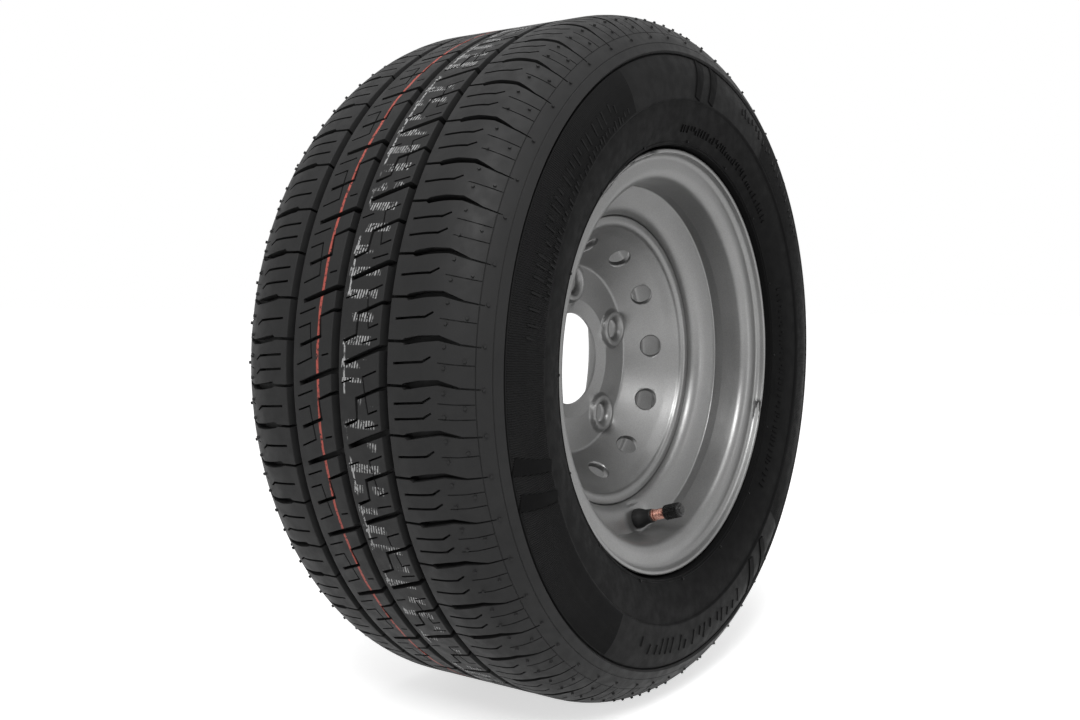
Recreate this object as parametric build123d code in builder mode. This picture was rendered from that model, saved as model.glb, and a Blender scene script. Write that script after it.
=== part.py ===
from build123d import *
import os
from math import asin, atan2, cos, degrees, radians, sin

# Trailer wheel: a tubeless tyre on a painted steel wheel with a snap-in valve.
# The axle lies along Y, the open face of the wheel looks along -Y, +Z is up.
# Sections are drawn as (out, radius): out runs from the tyre's middle plane
# towards the open face, radius from the axle. Angles run from +X towards +Z.

# Tyre carcass
tread_radius = 234.0
tread_flat_half_width = 51.0
shoulder_drop = 27.0
shoulder_half_width = 94.8
shoulder_facets = 3
shoulder_step = 1.2
section_half_width = 100.0
section_upper_radius = 191.0
section_lower_radius = 173.0
sidewall_foot_half_width = 92.0
sidewall_foot_rise = 9.0
bead_ring_half_width = 86.0
bead_ring_height = 2.2
tread_thickness = 13.0
sidewall_thickness = 8.0
bead_width = 17.0
bead_gap = 0.15

# Tread pattern, wound round the tyre as short, medium and long pitches
groove_spacing = 35.7
groove_width = 6.2
groove_floor_width = 3.8
groove_depth = 7.0
pitch_sequence = "LLSLSSSMSMMLMS"
pitch_weights = {"S": 5.75, "M": 6.55, "L": 7.45}
sequence_repeats = 4
first_pitch_angle = 135.6
hub_shoulder_shift = 1.2
shoulder_slot_width = 3.2
shoulder_slot_depth = 5.0
shoulder_slot_start = 43.0
shoulder_slot_floor_share = 0.55
shoulder_slot_end_share = 0.8
rib_slot_count = 32
rib_slot_width = 3.2
rib_slot_depth = 6.0
rib_slot_length = 27.0
rib_slot_slope = 19.0
rib_slot_half_spacing = 17.5
hub_rib_slot_angle = 180.2
open_rib_slot_angle = 177.0

# Rim, one rolled sheet
rim_sheet = 3.2
seat_heel_radius = 125.4
seat_heel_half_width = 73.3
seat_fall = 2.5
seat_toe_half_width = 49.9
flange_rise = 18.6
flange_root_rise = 9.3
flange_half_width = 82.9
barrel_out = -22.0
well_radius = 103.2
well_open_out = 36.0
well_hub_out = -6.0

# Disc, one pressed sheet welded into the well
disc_sheet = 4.5
disc_rim_gap = 0.1
disc_crest_out = 36.0
disc_crest_corner = 5.0
disc_flange_length = 20.0
cone_foot_radius = 70.5
cone_foot_out = 4.0
pad_radius = 69.0
pad_out = -3.6
bore_radius = 33.5
bore_ring_radius = 43.8
bore_ring_drop = 2.6
vent_count = 12
vent_radius = 8.0
vent_circle_radius = 80.0
vent_first_angle = 5.2
bolt_count = 5
bolt_circle_radius = 56.0
bolt_first_angle = 22.2
bolt_hole_radius = 7.0
bolt_seat_radius = 9.0
bolt_seat_angle = 60.0
bolt_collar_radius = 14.0
bolt_collar_height = 3.6
bolt_lobe_radius = 18.5
weld_count = 6
weld_arc = 24.0
weld_leg = 4.0
weld_gap = 0.05

# Valve, measured along its own axis from the seat on the rim
valve_angle = -84.4
valve_tilt = 17.0
valve_out = 45.0
valve_flat_radius = 7.5
valve_hole_radius = 5.75
rubber_fit = 0.1
rubber_base_radius = 7.3
rubber_base_height = 7.0
rubber_neck_radius = 5.0
rubber_height = 14.0
rubber_plug_length = 11.0
stem_radius = 3.0
stem_bond = 0.05
stem_collar_radius = 4.4
stem_collar_height = 1.8
stem_thread_radius = 3.85
stem_height = 36.0
stem_bore_radius = 1.7
core_chamber_radius = 2.65
core_chamber_depth = 17.0
core_clearance = 0.1
core_length = 11.0
core_recess = 1.4
core_bore_radius = 1.3
core_floor = 2.0
pin_radius = 0.7
pin_recess = 0.5
pin_head_radius = 1.1
pin_head_length = 0.8
pin_cup_radius = 1.9
pin_cup_length = 1.2
pin_seal_thickness = 0.6
pin_seal_gap = 0.05
spring_wire = 0.3
spring_turns = 4
spring_gap = 0.1
cap_radius = 5.4
cap_tip_radius = 3.6
cap_tip_height = 1.2
cap_clearance = 0.1
cap_skirt = 11.5
cap_crown = 1.4
gasket_thickness = 1.0
gasket_hole_radius = 1.2
gasket_gap = 0.15

os.makedirs("parts", exist_ok=True)


def radial(angle):
    """Unit direction away from the axle at a wheel angle."""
    return Vector(cos(radians(angle)), 0, sin(radians(angle)))


def wheel_section(angle):
    """Plane through the axle: x is out towards the open face, y is the radius."""
    return Plane(origin=(0, 0, 0), x_dir=(0, -1, 0), z_dir=Vector(0, -1, 0).cross(radial(angle)))


def tread_plane(angle):
    """Plane on the crown of the tread: x is out towards the open face."""
    return Plane(origin=radial(angle) * tread_radius, x_dir=(0, -1, 0), z_dir=radial(angle))


def face_plane(angle, out, radius, tilt):
    """Plane whose normal points out of the open face, tilted towards the axle."""
    normal = Vector(0, -cos(radians(tilt)), 0) - radial(angle) * sin(radians(tilt))
    place = radial(angle) * radius + Vector(0, -out, 0)
    return Plane(origin=place, x_dir=radial(angle).cross(Vector(0, -1, 0)), z_dir=normal)


def spread(first, count):
    """Even angles round the wheel."""
    return [first + 360 * step / count for step in range(count)]


upwards = (Align.CENTER, Align.CENTER, Align.MIN)
downwards = (Align.CENTER, Align.CENTER, Align.MAX)

# Rim
seat_toe_radius = seat_heel_radius - seat_fall
flange_root_radius = seat_heel_radius + flange_root_rise
flange_radius = seat_heel_radius + flange_rise
rim_run = [
    (-flange_half_width, flange_radius),
    (-flange_half_width, flange_root_radius),
    (-seat_heel_half_width, seat_heel_radius),
    (-seat_toe_half_width, seat_toe_radius),
    (barrel_out, seat_toe_radius),
    (well_hub_out, well_radius),
    (well_open_out, well_radius),
    (seat_toe_half_width, seat_toe_radius),
    (seat_heel_half_width, seat_heel_radius),
    (flange_half_width, flange_root_radius),
    (flange_half_width, flange_radius),
]
wall_slope = (seat_toe_radius - well_radius) / (seat_toe_half_width - well_open_out)
valve_radius = well_radius + (valve_out - well_open_out) * wall_slope
valve_seat = face_plane(valve_angle, valve_out, valve_radius, valve_tilt)

with BuildPart() as rim:
    with BuildSketch(wheel_section(90)):
        with BuildLine():
            Polyline(*rim_run)
            offset(amount=rim_sheet, side=Side.LEFT, kind=Kind.INTERSECTION)
        make_face()
    revolve(axis=Axis.Y)
    # The wall is flattened square to the valve and pierced
    with Locations(valve_seat):
        Cylinder(valve_flat_radius, rubber_height, align=upwards, mode=Mode.SUBTRACT)
        Cylinder(valve_flat_radius, rim_sheet, align=downwards)
    with Locations(valve_seat.offset(-rim_sheet)):
        Cylinder(valve_flat_radius, rubber_plug_length, align=downwards, mode=Mode.SUBTRACT)
    with Locations(valve_seat):
        Hole(valve_hole_radius, 2 * rim_sheet)
rim.part.label = "rim"
export_step(rim.part, "parts/rim.step")

# Disc
disc_radius = well_radius - disc_rim_gap
crest_radius = disc_radius - disc_crest_corner
disc_foot_out = disc_crest_out - disc_crest_corner - disc_flange_length
pad_back_out = pad_out - disc_sheet
disc_front = [
    (disc_crest_out, crest_radius),
    (cone_foot_out, cone_foot_radius),
    (pad_out, pad_radius),
    (pad_out, bore_radius),
]
disc_run = [
    (disc_foot_out, disc_radius),
    (disc_crest_out - disc_crest_corner, disc_radius),
    *disc_front,
]
bore_bevel = [
    (pad_out, bore_ring_radius),
    (pad_out, bore_radius),
    (pad_out - bore_ring_drop, bore_radius),
]
bolt_angles = spread(bolt_first_angle, bolt_count)
bolt_flats = [face_plane(angle, pad_out, bolt_circle_radius, 0) for angle in bolt_angles]
cone_tilt = degrees(atan2(disc_crest_out - cone_foot_out, crest_radius - cone_foot_radius))
cone_rise = (disc_crest_out - cone_foot_out) / (crest_radius - cone_foot_radius)
vent_out = cone_foot_out + (vent_circle_radius - cone_foot_radius) * cone_rise
vents = [
    face_plane(angle, vent_out, vent_circle_radius, cone_tilt)
    for angle in spread(vent_first_angle, vent_count)
]

# Cups pressed out behind the cone, so that the flats round the bolts keep their sheet
with BuildPart() as lobe_cups:
    with Locations(*[flat.offset(-disc_sheet) for flat in bolt_flats]):
        Cylinder(bolt_lobe_radius + disc_sheet, disc_crest_out - pad_back_out, align=upwards)
    with BuildSketch(wheel_section(90)):
        Polygon(*disc_front, (pad_back_out, bore_radius), (pad_back_out, crest_radius), align=None)
    revolve(axis=Axis.Y, mode=Mode.INTERSECT)

with BuildPart() as wheel_disc:
    with BuildSketch(wheel_section(90)):
        with BuildLine():
            Polyline(*disc_run)
            offset(amount=disc_sheet, side=Side.RIGHT, kind=Kind.INTERSECTION)
        make_face()
    revolve(axis=Axis.Y)
    add(lobe_cups.part)
    with BuildSketch(wheel_section(90)):
        Polygon(*bore_bevel, align=None)
    revolve(axis=Axis.Y, mode=Mode.SUBTRACT)
    with Locations(*bolt_flats):
        Cylinder(bolt_lobe_radius, disc_crest_out - pad_out, align=upwards, mode=Mode.SUBTRACT)
        Cylinder(bolt_collar_radius, bolt_collar_height, align=upwards)
    with Locations(*[flat.offset(bolt_collar_height) for flat in bolt_flats]):
        CounterSinkHole(
            bolt_hole_radius,
            bolt_seat_radius,
            bolt_collar_height + 2 * disc_sheet,
            bolt_seat_angle,
        )
    with Locations(*vents):
        Cylinder(vent_radius, 4 * disc_sheet, mode=Mode.SUBTRACT)
wheel_disc.part.label = "wheel_disc"
export_step(wheel_disc.part, "parts/wheel_disc.step")

# Welds, between the disc's flange and the well, on the hub side
with BuildPart() as disc_welds:
    for angle in spread(0, weld_count):
        with BuildSketch(wheel_section(angle)):
            Polygon(
                (disc_foot_out - weld_gap, well_radius - weld_gap),
                (disc_foot_out - weld_gap, well_radius - weld_leg),
                (disc_foot_out - weld_leg, well_radius - weld_gap),
                align=None,
            )
        revolve(axis=Axis.Y, revolution_arc=weld_arc)
disc_welds.part.label = "disc_welds"
export_step(disc_welds.part, "parts/disc_welds.step")

# Tyre
shoulder_rise = shoulder_half_width - tread_flat_half_width
shoulder_curve = (shoulder_rise**2 + shoulder_drop**2) / (2 * shoulder_drop)
shoulder_sweep = asin(shoulder_rise / shoulder_curve)


def shoulder_point(share, depth=0.0):
    """Point part way down the rounded shoulder, depth below its face."""
    turn = share * shoulder_sweep
    reach = shoulder_curve - depth
    return (
        tread_flat_half_width + reach * sin(turn),
        tread_radius - shoulder_curve + reach * cos(turn),
    )


def pitch_angles():
    """Angles at which the shoulder slots stand, one for each pitch."""
    lengths = [pitch_weights[pitch] for pitch in pitch_sequence * sequence_repeats]
    scale = 360 / sum(lengths)
    return [first_pitch_angle + scale * sum(lengths[:step]) for step in range(len(lengths))]


shoulder_line = [shoulder_point(step / shoulder_facets) for step in range(shoulder_facets + 1)]
edge_out, edge_radius = shoulder_line[-1]
flange_mid_out = flange_half_width - rim_sheet / 2
inner_crown = tread_radius - tread_thickness
inner_half_width = section_half_width - sidewall_thickness
slot_end_out, slot_end_radius = shoulder_point(shoulder_slot_end_share)
slot_side = [
    (shoulder_slot_start, tread_radius + shoulder_slot_depth),
    (shoulder_slot_start, tread_radius - shoulder_slot_depth),
    shoulder_point(0, shoulder_slot_depth),
    shoulder_point(shoulder_slot_floor_share, shoulder_slot_depth),
    (slot_end_out, slot_end_radius),
    (slot_end_out, tread_radius + shoulder_slot_depth),
]

with BuildPart() as tyre:
    with BuildSketch(wheel_section(90)):
        Polygon(
            (0, inner_crown),
            (0, tread_radius),
            *shoulder_line,
            (edge_out - shoulder_step, edge_radius - shoulder_step),
            (section_half_width, section_upper_radius),
            (section_half_width, section_lower_radius),
            (sidewall_foot_half_width, flange_radius + sidewall_foot_rise),
            (bead_ring_half_width, flange_radius + bead_ring_height),
            (flange_mid_out, flange_radius + bead_gap),
            (flange_mid_out, flange_root_radius),
            (seat_heel_half_width, seat_heel_radius + rim_sheet / 2),
            (seat_heel_half_width - bead_width, seat_heel_radius),
            (flange_half_width - 2 * sidewall_thickness, flange_radius),
            (inner_half_width, section_lower_radius),
            (inner_half_width, section_upper_radius),
            (tread_flat_half_width, inner_crown),
            align=None,
        )
        with Locations((0, tread_radius), (groove_spacing, tread_radius)):
            Polygon(
                (-groove_width / 2, 0),
                (groove_width / 2, 0),
                (groove_floor_width / 2, -groove_depth),
                (-groove_floor_width / 2, -groove_depth),
                align=None,
                mode=Mode.SUBTRACT,
            )
        mirror(about=Plane.YZ)
        with BuildLine():
            Polyline(*rim_run)
            offset(amount=rim_sheet + bead_gap, side=Side.LEFT, kind=Kind.INTERSECTION)
        make_face(mode=Mode.SUBTRACT)
    revolve(axis=Axis.Y)
    # Shoulder slots, run out before the edge of the shoulder
    with BuildSketch(*[wheel_section(angle) for angle in pitch_angles()]):
        Polygon(*slot_side, align=None)
    extrude(amount=shoulder_slot_width / 2, both=True, mode=Mode.SUBTRACT)
    with BuildSketch(*[wheel_section(angle + hub_shoulder_shift) for angle in pitch_angles()]):
        Polygon(*[(-out, radius) for out, radius in slot_side], align=None)
    extrude(amount=shoulder_slot_width / 2, both=True, mode=Mode.SUBTRACT)
    # Slanted slots in the two middle ribs
    for first_angle, slot_out in (
        (hub_rib_slot_angle, -rib_slot_half_spacing),
        (open_rib_slot_angle, rib_slot_half_spacing),
    ):
        with BuildSketch(*[tread_plane(angle) for angle in spread(first_angle, rib_slot_count)]):
            with Locations((slot_out, 0)):
                Rectangle(rib_slot_length, rib_slot_width, rotation=rib_slot_slope)
        extrude(amount=-rib_slot_depth, mode=Mode.SUBTRACT)
tyre.part.label = "tyre"
export_step(tyre.part, "parts/tyre.step")

# Rubber valve body, pulled through the hole in the rim from inside
with BuildPart() as valve_body:
    with Locations(valve_seat.offset(rubber_fit)):
        Cylinder(rubber_base_radius, rubber_base_height, align=upwards)
    with Locations(valve_seat):
        Cylinder(rubber_neck_radius, rubber_height, align=upwards)
    with Locations(valve_seat.offset(rubber_fit)):
        Cylinder(valve_hole_radius - rubber_fit, rim_sheet + 2 * rubber_fit, align=downwards)
    with Locations(valve_seat.offset(-rim_sheet - rubber_fit)):
        Cylinder(valve_flat_radius - rubber_fit, rubber_plug_length, align=downwards)
    with Locations(valve_seat):
        Hole(stem_radius + stem_bond, stem_height)
valve_body.part.label = "valve_body"
export_step(valve_body.part, "parts/valve_body.step")

# Brass stem, bonded in the rubber, threaded outside for the cap
stem_foot = valve_seat.offset(-rim_sheet - rubber_fit - rubber_plug_length)
stem_collar_foot = valve_seat.offset(rubber_height + stem_bond)
stem_top = valve_seat.offset(stem_height)
with BuildPart() as valve_stem:
    with Locations(stem_foot):
        Cylinder(stem_radius, stem_foot.to_local_coords(stem_top.origin).Z, align=upwards)
    with Locations(stem_collar_foot):
        Cylinder(stem_collar_radius, stem_collar_height, align=upwards)
        Cylinder(stem_thread_radius, stem_height - rubber_height - stem_bond, align=upwards)
    with Locations(stem_top):
        CounterBoreHole(stem_bore_radius, core_chamber_radius, core_chamber_depth)
valve_stem.part.label = "valve_stem"
export_step(valve_stem.part, "parts/valve_stem.step")

# Valve core, screwed into the stem: a barrel, and a sprung pin that seals under it
core_top = valve_seat.offset(stem_height - core_recess)
core_foot = core_top.offset(-core_length)
core_radius = core_chamber_radius - core_clearance
with BuildPart() as valve_core:
    with Locations(core_top):
        Cylinder(core_radius, core_length, align=downwards)
        CounterBoreHole(pin_radius + core_clearance, core_bore_radius, core_length - core_floor)
valve_core.part.label = "valve_core"
export_step(valve_core.part, "parts/valve_core.step")

pin_top = valve_seat.offset(stem_height - pin_recess)
seal_foot = core_foot.offset(-pin_seal_gap - pin_seal_thickness)
with BuildPart() as pin_seal:
    with Locations(seal_foot):
        Cylinder(pin_cup_radius, pin_seal_thickness, align=upwards)
        Hole(pin_radius + pin_seal_gap, pin_seal_thickness)
pin_seal.part.label = "pin_seal"
export_step(pin_seal.part, "parts/pin_seal.step")

pin_foot = seal_foot.offset(-pin_seal_gap)
with BuildPart() as core_pin:
    with Locations(pin_foot):
        Cylinder(pin_cup_radius, pin_cup_length, align=downwards)
        Cylinder(pin_radius, pin_foot.to_local_coords(pin_top.origin).Z, align=upwards)
    with Locations(pin_top):
        Cylinder(pin_head_radius, pin_head_length, align=downwards)
core_pin.part.label = "core_pin"
export_step(core_pin.part, "parts/core_pin.step")

# Spring round the pin, from the floor of the barrel to the pin's head
spring_foot = core_foot.offset(core_floor + spring_gap + spring_wire / 2)
spring_ceiling = pin_top.offset(-pin_head_length - spring_gap - spring_wire / 2)
spring_height = spring_foot.to_local_coords(spring_ceiling.origin).Z
spring_radius = (pin_radius + core_bore_radius) / 2
with BuildPart() as core_spring:
    with BuildLine():
        coil = Helix(
            spring_height / spring_turns,
            spring_height,
            spring_radius,
            center=spring_foot.origin,
            direction=spring_foot.z_dir,
        )
    with BuildSketch(Plane(origin=coil @ 0, z_dir=coil % 0, x_dir=spring_foot.z_dir)):
        Rectangle(spring_wire, spring_wire)
    sweep(path=coil)
core_spring.part.label = "core_spring"
export_step(core_spring.part, "parts/core_spring.step")

# Cap, screwed on the stem over a rubber gasket
gasket_foot = stem_top.offset(gasket_gap)
cap_ceiling = gasket_foot.offset(gasket_thickness)
with BuildPart() as cap_gasket:
    with Locations(gasket_foot):
        Cylinder(stem_thread_radius, gasket_thickness, align=upwards)
        Hole(gasket_hole_radius, gasket_thickness)
cap_gasket.part.label = "cap_gasket"
export_step(cap_gasket.part, "parts/cap_gasket.step")

with BuildPart() as valve_cap:
    with Locations(cap_ceiling.offset(cap_crown)):
        Cylinder(cap_radius, cap_crown + cap_skirt, align=downwards)
        Cylinder(cap_tip_radius, cap_tip_height, align=upwards)
    with Locations(cap_ceiling):
        Cylinder(stem_thread_radius + cap_clearance, cap_skirt, align=downwards, mode=Mode.SUBTRACT)
valve_cap.part.label = "valve_cap"
export_step(valve_cap.part, "parts/valve_cap.step")
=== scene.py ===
import bmesh
import bpy
from itertools import pairwise
from math import asin, atan, atan2, ceil, cos, degrees, hypot, pi, radians, sin, tan
from mathutils import Matrix, Vector
from random import Random


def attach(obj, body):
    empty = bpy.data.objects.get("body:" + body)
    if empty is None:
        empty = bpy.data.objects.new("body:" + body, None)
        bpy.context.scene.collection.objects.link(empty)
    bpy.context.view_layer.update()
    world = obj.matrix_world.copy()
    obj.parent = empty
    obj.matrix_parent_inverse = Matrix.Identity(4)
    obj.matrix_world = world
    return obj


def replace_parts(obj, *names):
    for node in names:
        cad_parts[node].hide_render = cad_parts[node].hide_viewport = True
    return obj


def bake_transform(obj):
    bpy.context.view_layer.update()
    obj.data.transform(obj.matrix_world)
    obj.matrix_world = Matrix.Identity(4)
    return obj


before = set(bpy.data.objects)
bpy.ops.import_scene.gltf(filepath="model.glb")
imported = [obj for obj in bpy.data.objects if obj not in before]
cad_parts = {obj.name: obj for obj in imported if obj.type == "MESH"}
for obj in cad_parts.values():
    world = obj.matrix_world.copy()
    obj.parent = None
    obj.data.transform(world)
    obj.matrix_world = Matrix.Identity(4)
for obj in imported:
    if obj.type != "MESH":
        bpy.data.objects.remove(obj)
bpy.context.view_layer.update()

# Rim
# One strip of steel, rolled to its section, welded into a ring and painted silver.
# The beads of the tyre sit on its two seats; its drop well takes the disc and the valve.
mm = 0.001
wheel_frame = Matrix(((1, 0, 0, 0), (0, 0, -1, 0), (0, 1, 0, 0), (0, 0, 0, 1)))
rim_sheet = 3.2
flange_radius, flange_out = 142.8, 85.0
wall_top_radius, wall_out = 141.6, 78.1
seat_heel_radius, seat_toe_radius, seat_toe_out = 126.1, 122.9, 49.9
seat_dip_out, seat_dip_radius = 57.0, 122.7
well_radius, well_open_out, well_hub_out, barrel_out = 103.2, 42.0, -6.0, -22.0
disc_play = 0.2
tip_bend, wall_bend, heel_bend, barrel_bend = 1.3, 4, 8.5, 5
rim_bends = [
    (-flange_out, flange_radius, tip_bend),
    (-wall_out, wall_top_radius, wall_bend),
    (-wall_out, seat_heel_radius, heel_bend),
    (-seat_toe_out, seat_toe_radius, barrel_bend),
    (barrel_out, seat_toe_radius, barrel_bend),
    (well_hub_out, well_radius, 6),
    (well_open_out, well_radius + disc_play, 10),
    (seat_toe_out, seat_toe_radius, 1.2),
    (seat_dip_out, seat_dip_radius, wall_bend),
    (wall_out, seat_heel_radius, heel_bend),
    (wall_out, wall_top_radius, wall_bend),
    (flange_out, flange_radius, tip_bend),
]
rim_span, rim_steps = 5, 240


def rounded_run(bends, span, closed=False):
    """Line through the corners (out, radius, bend radius), its corners turned as arcs."""
    points = []
    count = len(bends)
    for step, (out, radius, bend) in enumerate(bends):
        corner = Vector((out, radius))
        inside = closed or 0 < step < count - 1
        if bend and inside:
            back = (Vector(bends[step - 1][:2]) - corner).normalized()
            ahead = (Vector(bends[(step + 1) % count][:2]) - corner).normalized()
            turn = pi - back.angle(ahead)
            centre = corner + (back + ahead).normalized() * bend / cos(turn / 2)
            spoke = corner + back * bend * tan(turn / 2) - centre
            way = turn if ahead.cross(back) > 0 else -turn
            parts = max(2, ceil(turn / radians(12)))
            points += [centre + Matrix.Rotation(way * part / parts, 2) @ spoke for part in range(parts + 1)]
        else:
            points.append(corner)
    run = []
    ends = points[1:] + points[:1] if closed else points[1:]
    for start, end in zip(points, ends):
        parts = max(1, ceil((end - start).length / span))
        run += [start.lerp(end, part / parts) for part in range(parts)]
    return run if closed else run + points[-1:]


def beside(bends, thickness):
    """The same corners on the other face of a sheet, thickness to the left of the line."""
    moved = []
    for step, (out, radius, bend) in enumerate(bends):
        corner = Vector((out, radius))
        back = corner - Vector(bends[step - 1][:2]) if step else None
        ahead = Vector(bends[step + 1][:2]) - corner if step + 1 < len(bends) else None
        back, ahead = (back or ahead).normalized(), (ahead or back).normalized()
        lean = (back + ahead).normalized()
        normal = Vector((-lean.y, lean.x))
        reach = thickness / normal.dot(Vector((-back.y, back.x)))
        grows = back.cross(ahead) * thickness < 0
        inside = 0 < step < len(bends) - 1
        far_bend = bend + abs(thickness) if grows else max(bend - abs(thickness), 0.8)
        moved.append((*(corner + normal * reach), far_bend if bend and inside else bend))
    return moved


def turned(bm, run, steps, angle=2 * pi, marked=None):
    """Turns a closed section of (out, radius) points round the axle; marked tells its first points apart."""
    ring = [bm.verts.new((radius * mm, 0, out * mm)) for out, radius in run]
    if marked:
        for vert in ring[:marked[1]]:
            vert[marked[0]] = 1
    edges = [bm.edges.new(pair) for pair in zip(ring, ring[1:] + ring[:1])]
    whole = angle == 2 * pi
    bmesh.ops.spin(bm, geom=ring + edges, axis=(0, 0, 1), angle=angle, steps=steps, use_merge=whole)


def new_piece(name, bm, material, body, crease=35, place=wheel_frame):
    """Closes up a mesh, puts it in its place and, where one body carries it, hands it to that body."""
    bmesh.ops.remove_doubles(bm, verts=bm.verts, dist=0.002 * mm)
    bmesh.ops.dissolve_degenerate(bm, edges=bm.edges, dist=0.001 * mm)
    bmesh.ops.transform(bm, matrix=place, verts=bm.verts)
    bm.normal_update()
    bmesh.ops.recalc_face_normals(bm, faces=bm.faces)
    for face in bm.faces:
        face.smooth = True
    for edge in bm.edges:
        edge.smooth = len(edge.link_faces) == 2 and edge.calc_face_angle(0) < radians(crease)
    mesh = bpy.data.meshes.new(name)
    bm.to_mesh(mesh)
    bm.free()
    mesh.materials.append(material)
    piece = bpy.data.objects.new(name, mesh)
    bpy.context.scene.collection.objects.link(piece)
    if body:
        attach(piece, body)
    return piece


def cut_away(bm, tools, crossing=False):
    """Takes the closed shapes in tools out of a mesh; crossing where they run through each other."""
    holders = []
    for shape in (bm, tools):
        mesh = bpy.data.meshes.new("shape")
        shape.normal_update()
        bmesh.ops.recalc_face_normals(shape, faces=shape.faces)
        shape.to_mesh(mesh)
        shape.free()
        holder = bpy.data.objects.new("shape", mesh)
        bpy.context.scene.collection.objects.link(holder)
        holders.append(holder)
    body, tool = holders
    modifier = body.modifiers.new("cut", "BOOLEAN")
    modifier.operation = "DIFFERENCE"
    modifier.solver = "EXACT"
    modifier.use_self = crossing
    modifier.object = tool
    result = bpy.data.meshes.new_from_object(body.evaluated_get(bpy.context.evaluated_depsgraph_get()))
    left = bmesh.new()
    left.from_mesh(result)
    for holder in holders:
        mesh = holder.data
        bpy.data.objects.remove(holder)
        bpy.data.meshes.remove(mesh)
    bpy.data.meshes.remove(result)
    return left


def soft_step(low, high, value):
    """0 below low, 1 above high, an even curve between."""
    share = min(max((value - low) / (high - low), 0), 1)
    return share * share * (3 - 2 * share)


def add_node(tree, kind, inputs=None, **settings):
    """New shader node, its settings made and each input set or linked."""
    node = tree.nodes.new(kind)
    for name, value in settings.items():
        setattr(node, name, value)
    for name, value in (inputs or {}).items():
        if isinstance(value, bpy.types.NodeSocket):
            tree.links.new(value, node.inputs[name])
        else:
            node.inputs[name].default_value = value
    return node


def add_math(tree, operation, first, second=0.0, clamp=False):
    """Output of a Math node."""
    node = add_node(tree, "ShaderNodeMath", {0: first, 1: second}, operation=operation, use_clamp=clamp)
    return node.outputs[0]


def add_range(tree, value, low, high, start=0.0, end=1.0):
    """Output of a smooth Map Range node."""
    inputs = {"Value": value, "From Min": low, "From Max": high, "To Min": start, "To Max": end}
    return add_node(tree, "ShaderNodeMapRange", inputs, interpolation_type="SMOOTHSTEP").outputs["Result"]


def add_mix(tree, share, first, second):
    """Colour output of a Mix node."""
    node = add_node(tree, "ShaderNodeMix", data_type="RGBA")
    for socket, value in ((node.inputs[0], share), (node.inputs[6], first), (node.inputs[7], second)):
        if isinstance(value, bpy.types.NodeSocket):
            tree.links.new(value, socket)
        else:
            socket.default_value = value
    return node.outputs[2]


def add_noise(tree, vector, scale, detail=2.0, roughness=0.5):
    """Grey output of a Noise Texture."""
    inputs = {"Vector": vector, "Scale": scale, "Detail": detail, "Roughness": roughness}
    return add_node(tree, "ShaderNodeTexNoise", inputs).outputs["Fac"]


def new_material(name):
    """Material with an empty Principled BSDF; returns it, its tree, the shader and object coordinates."""
    material = bpy.data.materials.new(name)
    material.use_nodes = True
    tree = material.node_tree
    tree.nodes.clear()
    shader = add_node(tree, "ShaderNodeBsdfPrincipled")
    output = add_node(tree, "ShaderNodeOutputMaterial", {"Surface": shader.outputs["BSDF"]})
    output.is_active_output = True
    place = add_node(tree, "ShaderNodeTexCoord").outputs["Object"]
    return material, tree, shader, place


def add_bump(tree, height, distance, strength=1.0):
    """Normal output of a Bump node."""
    inputs = {"Height": height, "Distance": distance, "Strength": strength}
    return add_node(tree, "ShaderNodeBump", inputs).outputs["Normal"]


def wheel_polar_group():
    """Node group that splits a place on the wheel into out, radius and way round the tread."""
    group = bpy.data.node_groups.new("wheel_polar", "ShaderNodeTree")
    group.interface.new_socket("Place", in_out="INPUT", socket_type="NodeSocketVector")
    for name in ("Out", "Radius", "Angle"):
        group.interface.new_socket(name, in_out="OUTPUT", socket_type="NodeSocketFloat")
    source = add_node(group, "NodeGroupInput")
    axes = add_node(group, "ShaderNodeSeparateXYZ", {"Vector": source.outputs["Place"]}).outputs
    flat = add_node(group, "ShaderNodeCombineXYZ", {"X": axes["X"], "Y": axes["Z"]}).outputs[0]
    length = add_node(group, "ShaderNodeVectorMath", {0: flat}, operation="LENGTH").outputs["Value"]
    target = add_node(group, "NodeGroupOutput")
    group.links.new(add_math(group, "MULTIPLY", axes["Y"], -1.0), target.inputs["Out"])
    group.links.new(length, target.inputs["Radius"])
    group.links.new(add_math(group, "ARCTAN2", axes["Z"], axes["X"]), target.inputs["Angle"])
    return group


wheel_polar = wheel_polar_group()


def add_polar(tree, place):
    """Out, radius and angle outputs of the wheel's own coordinates."""
    node = add_node(tree, "ShaderNodeGroup", node_tree=wheel_polar)
    tree.links.new(place, node.inputs["Place"])
    return node.outputs["Out"], node.outputs["Radius"], node.outputs["Angle"]


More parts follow.
